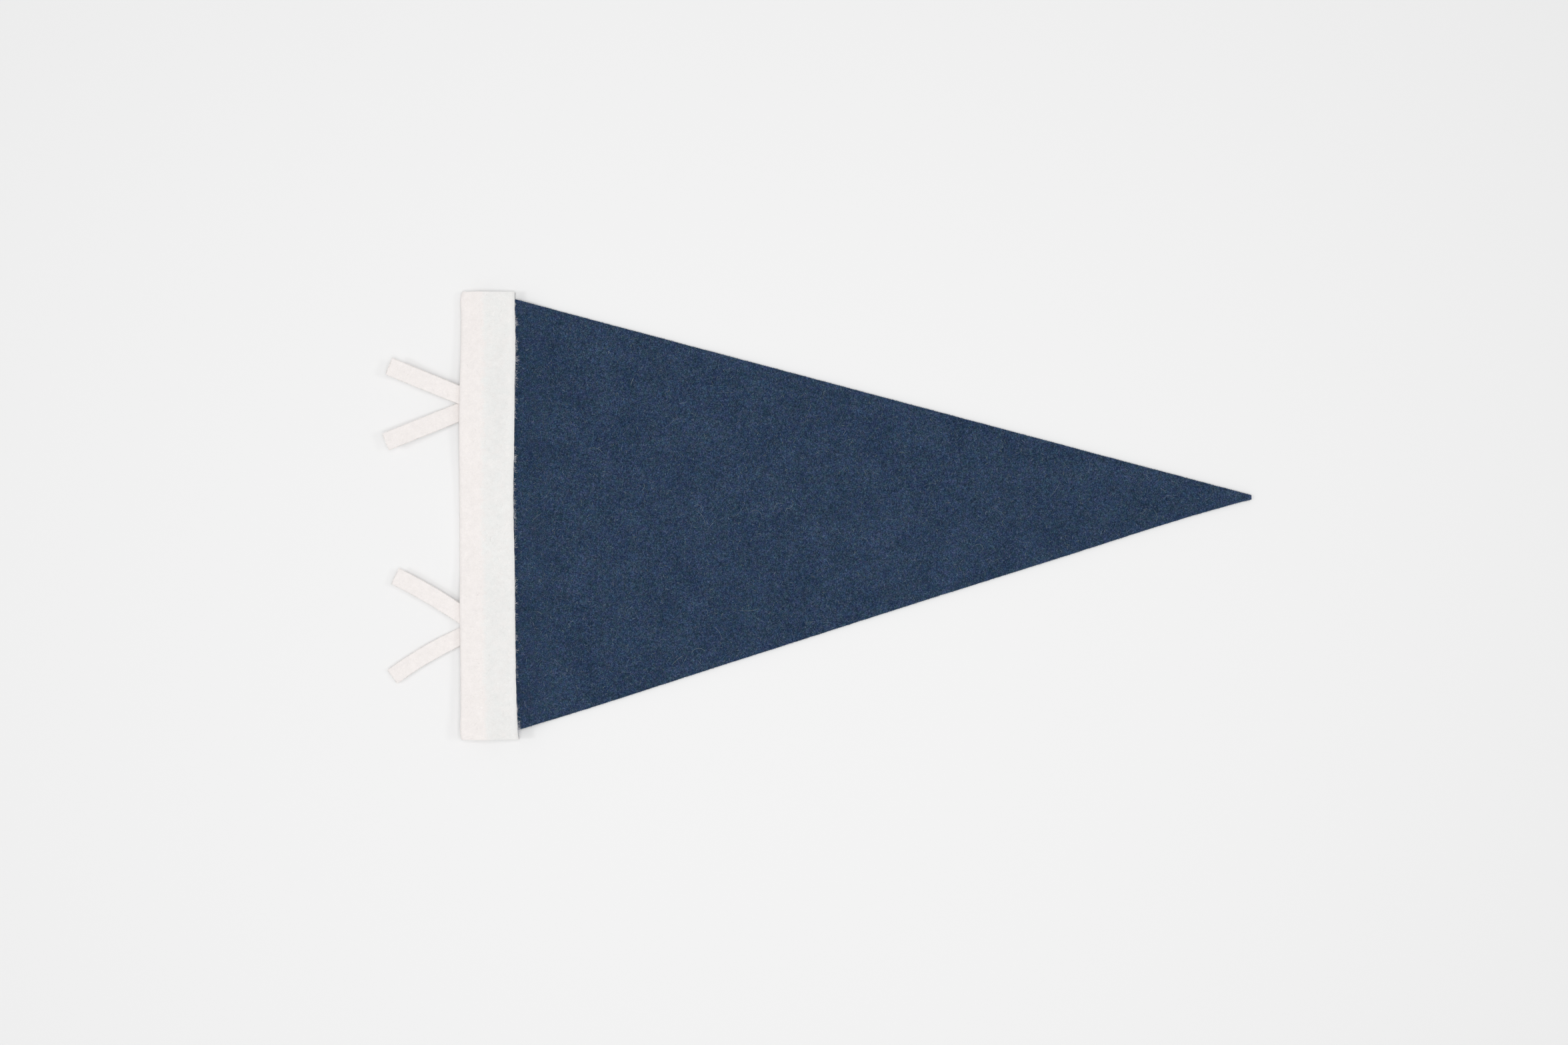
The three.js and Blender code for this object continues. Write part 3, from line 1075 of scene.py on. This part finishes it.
@dataclass(frozen=True)
class Pile:
    """One kind of loose fibre: how many there are, their sizes in millimetres and their colours.

    Curl and splay are the spreads of their turning and of their directions out of an edge, in
    radians. Fibres with clumps stand in that many bunches. Depth is how far below the face they
    leave an edge, least and most, in sheet thicknesses.
    """

    count: int
    shortest: float
    longest: float
    thickness: float
    curl: float
    stand: float
    tones: tuple[tuple[float, float, float], ...]
    splay: float = 0.6
    clumps: int = 0
    knots: int = 4
    depth: tuple[float, float] = (0.05, 0.8)


class Nap:
    """The loose fibres of one sheet, joined in one mesh.

    Each is a closed three-sided spindle, flat on top, so that it takes the light as the felt does.
    """

    SIDES = 3
    ROOTED = 0.15
    TONE_SPREAD = 0.14
    BUNCH = 0.004

    def __init__(self, sheet: Sheet, seed: int) -> None:
        """Starts an empty nap.

        Args:
            sheet: The sheet that the fibres lie on.
            seed: Seed of every random draw.
        """
        self.sheet = sheet
        self.rng = np.random.default_rng(seed)
        self.points: list[np.ndarray] = []
        self.triangles: list[np.ndarray] = []
        self.tints: list[np.ndarray] = []
        self.total = 0

    def trails(self, start: np.ndarray, heading: np.ndarray, pile: Pile) -> np.ndarray:
        """Draws flat arcs on the sheet's own coordinates.

        Args:
            start: Their first points, one row of two for each.
            heading: Their directions there, in radians.
            pile: The kind of fibre.

        Returns:
            For each fibre, the two coordinates of its knots.
        """
        count, steps = len(start), pile.knots - 1
        length = self.rng.uniform(pile.shortest, pile.longest, count)
        turn = self.rng.normal(0.0, pile.curl, count)
        at = (np.arange(steps) + 0.5) / steps
        angle = heading[:, None] + turn[:, None] * at
        step = (length / steps)[:, None]
        moves = np.stack([np.cos(angle) * step, np.sin(angle) * step], axis=2)
        return start[:, None] + np.concatenate([np.zeros((count, 1, 2)), np.cumsum(moves, axis=1)], axis=1)

    def strew(self, pile: Pile) -> None:
        """Strews fibres over the face that shows.

        Args:
            pile: The kind of fibre.
        """
        start = self.sheet.spots(self.rng, pile.count)
        heading = self.rng.uniform(0.0, 2.0 * math.pi, pile.count)
        trail = self.trails(start, heading, pile)
        trail = trail[self.sheet.covers(trail[..., 0], trail[..., 1]).all(axis=1)]
        line = self.sheet.face(trail[..., 0], trail[..., 1])
        arch = np.sin(np.linspace(0.0, math.pi, pile.knots))
        stand = self.rng.uniform(0.0, pile.stand, len(trail))
        line[..., 2] += pile.thickness * 0.3 + stand[:, None] * arch
        self.spin(line, pile)

    def fringe(self, pile: Pile) -> None:
        """Lets short fibres stand out of the cut edges.

        Args:
            pile: The kind of fibre.
        """
        share = self.rng.uniform(0.0, 1.0, pile.count)
        if pile.clumps:
            centres = self.rng.uniform(0.0, 1.0, pile.clumps)
            share = centres[self.rng.integers(0, pile.clumps, pile.count)]
            share = np.clip(share + self.rng.normal(0.0, self.BUNCH, pile.count), 0.0, 1.0 - self.BUNCH)
        start, outward = self.sheet.rim(share)
        start = start - self.ROOTED * np.stack([np.cos(outward), np.sin(outward)], axis=1)
        heading = outward + self.rng.normal(0.0, pile.splay, pile.count)
        trail = self.trails(start, heading, pile)
        line = self.sheet.face(trail[..., 0], trail[..., 1])
        deep = self.rng.uniform(*pile.depth, pile.count) * self.sheet.thickness
        drift = self.rng.uniform(-pile.stand, pile.stand, pile.count)
        line[..., 2] += drift[:, None] * np.linspace(0.0, 1.0, pile.knots) - deep[:, None]
        line[..., 2] = np.maximum(line[..., 2], pile.thickness)
        self.spin(line, pile)

    def spin(self, line: np.ndarray, pile: Pile) -> None:
        """Turns fibres' lines into closed spindles.

        Args:
            line: For each fibre, its knots in millimetres.
            pile: The kind of fibre.
        """
        count, knots, sides = len(line), pile.knots, self.SIDES
        along = np.gradient(line, axis=1)
        along /= np.linalg.norm(along, axis=2, keepdims=True)
        across = np.cross(along, np.array([0.0, 0.0, 1.0]))
        across /= np.linalg.norm(across, axis=2, keepdims=True)
        above = np.cross(across, along)
        rings = []
        for side in range(sides):
            angle = 2.0 * math.pi * side / sides - math.pi / 2.0
            out = math.cos(angle) * across + math.sin(angle) * above
            rings.append(line + pile.thickness / 2.0 * out)
        inner = np.stack(rings, axis=2)[:, 1:-1].reshape(count, -1, 3)
        points = np.concatenate([line[:, :1], inner, line[:, -1:]], axis=1)
        last = points.shape[1] - 1
        faces = []
        for side in range(sides):
            after = (side + 1) % sides
            faces.append((0, 1 + side, 1 + after))
            for ring in range(knots - 3):
                a, b = 1 + ring * sides + side, 1 + ring * sides + after
                faces.append((a, b + sides, b))
                faces.append((a, a + sides, b + sides))
            faces.append((last, last - sides + after, last - sides + side))
        offsets = self.total + (np.arange(count) * points.shape[1])[:, None, None]
        tones = np.array([linear(*tone) for tone in pile.tones])
        tint = tones[self.rng.integers(0, len(tones), count)]
        tint[:, :3] *= np.exp(self.rng.normal(0.0, self.TONE_SPREAD, (count, 1)))
        self.triangles.append((np.array(faces)[None] + offsets).reshape(-1, 3))
        self.points.append(points.reshape(-1, 3))
        self.tints.append(np.repeat(np.minimum(tint, 1.0), points.shape[1], axis=0))
        self.total += count * points.shape[1]

    def build(self, material: bpy.types.Material) -> bpy.types.Object:
        """Makes the joined mesh.

        Args:
            material: The fibres' material.

        Returns:
            The finished object.
        """
        name = f"{self.sheet.name}_nap"
        triangles = np.concatenate(self.triangles)
        mesh = bpy.data.meshes.new(name)
        mesh.from_pydata(self.sheet.placed(np.concatenate(self.points)).tolist(), [], triangles.tolist())
        shade = mesh.attributes.new(LooseWool.TINT, "FLOAT_COLOR", "POINT")
        shade.data.foreach_set("color", np.concatenate(self.tints).ravel())
        mesh.materials.append(material)
        nap = bpy.data.objects.new(name, mesh)
        bpy.context.collection.objects.link(nap)
        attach(nap, ROOT)
        log.info("%s: %d triangles", name, len(triangles))
        return nap


NAVY_TONES = (
    (92.0, 110.0, 132.0),
    (82.0, 100.0, 124.0),
    (72.0, 92.0, 116.0),
    (64.0, 94.0, 108.0),
    (78.0, 92.0, 100.0),
    (84.0, 80.0, 112.0),
    (12.0, 22.0, 40.0),
    (16.0, 26.0, 46.0),
    (20.0, 30.0, 50.0),
)
CURL_TONES = (
    (126.0, 140.0, 152.0),
    (112.0, 128.0, 140.0),
    (121.0, 130.0, 125.0),
    (106.0, 119.0, 117.0),
)
STRAY_TONES = (
    (116.0, 130.0, 142.0),
    (104.0, 120.0, 132.0),
    (134.0, 144.0, 150.0),
)
EDGE_TONES = (
    (52.0, 68.0, 92.0),
    (70.0, 86.0, 108.0),
    (34.0, 48.0, 68.0),
)
WHITE_TONES = (
    (246.0, 242.0, 239.0),
    (242.0, 237.5, 235.0),
    (238.0, 234.0, 231.0),
)
TUFT_TONES = (
    (196.0, 198.0, 204.0),
    (166.0, 171.0, 184.0),
    (222.0, 220.0, 221.0),
)

NAVY_NAP = Pile(
    count=12600, shortest=0.7, longest=2.8, thickness=0.11, curl=1.1, stand=0.08, tones=NAVY_TONES
)
NAVY_CURLS = Pile(
    count=1500, shortest=0.8, longest=2.4, thickness=0.11, curl=1.6, stand=0.15, tones=CURL_TONES
)
NAVY_STRAYS = Pile(
    count=60, shortest=3.0, longest=10.0, thickness=0.09, curl=1.7, stand=0.3, tones=STRAY_TONES, knots=8
)
NAVY_FRINGE = Pile(
    count=4200, shortest=0.3, longest=0.75, thickness=0.07, curl=0.5, stand=0.1, tones=EDGE_TONES, knots=3
)
WHITE_NAP = Pile(
    count=900, shortest=1.0, longest=3.2, thickness=0.06, curl=1.1, stand=0.05, tones=WHITE_TONES
)
WHITE_FRINGE = Pile(
    count=1700, shortest=0.25, longest=0.9, thickness=0.05, curl=1.0, stand=0.12, tones=TUFT_TONES,
    splay=1.1, knots=3
)
WHITE_TUFTS = Pile(
    count=800, shortest=0.6, longest=2.6, thickness=0.055, curl=1.3, stand=0.25, tones=TUFT_TONES,
    splay=0.9, clumps=60
)
TIE_NAP = Pile(
    count=160, shortest=0.8, longest=2.6, thickness=0.06, curl=1.1, stand=0.05, tones=WHITE_TONES
)
TIE_FRINGE = Pile(
    count=3200, shortest=0.3, longest=0.8, thickness=0.07, curl=0.8, stand=0.15, tones=WHITE_TONES,
    splay=0.9, knots=3, depth=(0.0, 0.3)
)


@dataclass(frozen=True)
class Lamp:
    """A soft lamp: where it hangs, how large and how strong it is. It faces the flag's middle."""

    name: str
    azimuth: float
    elevation: float
    distance: float
    width: float
    height: float
    power: float

    def hang(self, target: tuple[float, float, float]) -> None:
        """Hangs the lamp and turns it to the target.

        Args:
            target: The point it faces, in metres.
        """
        light = bpy.data.lights.new(self.name, "AREA")
        light.shape = "RECTANGLE"
        light.size, light.size_y = self.width, self.height
        light.energy = self.power
        lamp = bpy.data.objects.new(self.name, light)
        a, e = math.radians(self.azimuth), math.radians(self.elevation)
        away = (math.cos(a) * math.cos(e), math.sin(a) * math.cos(e), math.sin(e))
        lamp.location = [t + d * self.distance for t, d in zip(target, away)]
        lamp.rotation_euler = (math.pi / 2.0 - e, 0.0, a + math.pi / 2.0)
        bpy.context.collection.objects.link(lamp)


@dataclass
class Studio:
    """The pale table, the soft lamps and the camera straight above."""

    origin: tuple[float, float]
    table_colour: tuple[float, float, float] = (243.0, 243.0, 243.0)
    table_size: float = 12.0
    sky: float = 0.5
    lens: float = 50.0
    sensor: float = 36.0

    LAMPS = (
        Lamp("left_lamp", azimuth=184.8, elevation=40.0, distance=3.0, width=0.5, height=0.5, power=11.0),
        Lamp("right_lamp", azimuth=0.0, elevation=45.0, distance=3.0, width=0.5, height=0.5, power=7.0),
        Lamp("top_lamp", azimuth=265.0, elevation=87.0, distance=1.3, width=0.75, height=0.75, power=6.9),
    )

    def middle(self) -> tuple[float, float]:
        """Works out where the photograph's centre falls on the table, in metres."""
        x = (PHOTO_WIDTH / 2.0 - PHOTO_FOLD_X) / PHOTO_PER_MM
        y = (PHOTO_MIDDLE_Y - PHOTO_HEIGHT / 2.0) / PHOTO_PER_MM
        return self.origin[0] + x * MM, self.origin[1] + y * MM

    def set_up(self) -> None:
        """Makes the camera, table, lamps and sky."""
        x, y = self.middle()
        scene = bpy.context.scene
        data = bpy.data.cameras.new("camera")
        data.lens, data.sensor_width = self.lens, self.sensor
        camera = bpy.data.objects.new("camera", data)
        view_width = PHOTO_WIDTH / PHOTO_PER_MM * MM
        camera.location = (x, y, view_width * self.lens / self.sensor)
        bpy.context.collection.objects.link(camera)
        scene.camera = camera
        bm = bmesh.new()
        bmesh.ops.create_grid(bm, x_segments=1, y_segments=1, size=self.table_size / 2.0)
        mesh = bpy.data.meshes.new("table")
        bm.to_mesh(mesh)
        bm.free()
        s = Shades("pale_table")
        s.shader.inputs["Base Color"].default_value = linear(*self.table_colour)
        s.shader.inputs["Roughness"].default_value = 0.9
        s.shader.inputs["Specular IOR Level"].default_value = 0.0
        mesh.materials.append(s.material)
        table = bpy.data.objects.new("table", mesh)
        bpy.context.collection.objects.link(table)
        for lamp in self.LAMPS:
            lamp.hang((x, y, 0.0))
        world = bpy.data.worlds.new("soft_sky")
        world.use_nodes = True
        backdrop = world.node_tree.nodes["Background"]
        backdrop.inputs["Color"].default_value = (1.0, 1.0, 1.0, 1.0)
        backdrop.inputs["Strength"].default_value = self.sky
        scene.world = world
        scene.view_settings.view_transform = "Standard"
        scene.view_settings.look = "None"
        log.info("studio: camera above %.4f, %.4f", x, y)


def main() -> None:
    """Builds the flag piece by piece, then the studio."""
    logging.basicConfig(level=logging.INFO, format="%(name)s: %(message)s")
    lowest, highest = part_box("field")
    hoist_x, tip_x = 11.2, 379.2
    origin = (lowest[0] - hoist_x * MM, 0.0)
    log.info("field spans %.1f mm, drawn %.1f mm", (highest[0] - lowest[0]) / MM, tip_x - hoist_x)
    studio = Studio(origin)
    studio.set_up()

    header = Header("felt_header", "header", "white_felt", FELT, columns=56, rows=300, origin=origin)
    field = Field("felt_field", "field", "navy_felt", FELT, columns=220, rows=90, origin=origin, header=header,
                  lie=Lie.LAID)
    upper_tie = Tie("felt_tie_upper", "tie_upper", "white_felt", TIE_FELT, columns=120, rows=10,
                    origin=origin, crease=(8.45, 53.7), legs=UPPER_TIE_LEGS)
    lower_tie = Tie("felt_tie_lower", "tie_lower", "white_felt", TIE_FELT, columns=120, rows=10,
                    origin=origin, crease=(8.9, -53.1), legs=LOWER_TIE_LEGS)
    white = WhiteFelt()
    field_piece = field.build(NavyFelt().material())
    header_piece = header.build(white.material("white_felt_header", header.lap))
    tie_felt = white.material("white_felt_tie")
    navy_wool = LooseWool("navy_wool").material()
    white_wool = LooseWool("white_wool").material()

    field_nap = Nap(field, seed=101)
    field_nap.strew(NAVY_NAP)
    field_nap.strew(NAVY_CURLS)
    field_nap.strew(NAVY_STRAYS)
    field_nap.fringe(NAVY_FRINGE)
    field.declare(field_piece, ["header"], [field_nap.build(navy_wool)])

    header_nap = Nap(header, seed=102)
    header_nap.strew(WHITE_NAP)
    header_nap.fringe(WHITE_FRINGE)
    header_nap.fringe(WHITE_TUFTS)
    header.declare(header_piece, ["tie_upper", "tie_lower"], [header_nap.build(white_wool)])

    for seed, tie in ((103, upper_tie), (104, lower_tie)):
        tie_nap = Nap(tie, seed)
        tie_nap.strew(TIE_NAP)
        tie_nap.fringe(TIE_FRINGE)
        tie.declare(tie.build(tie_felt), [], [tie_nap.build(white_wool)])


if __name__ == "__main__":
    main()
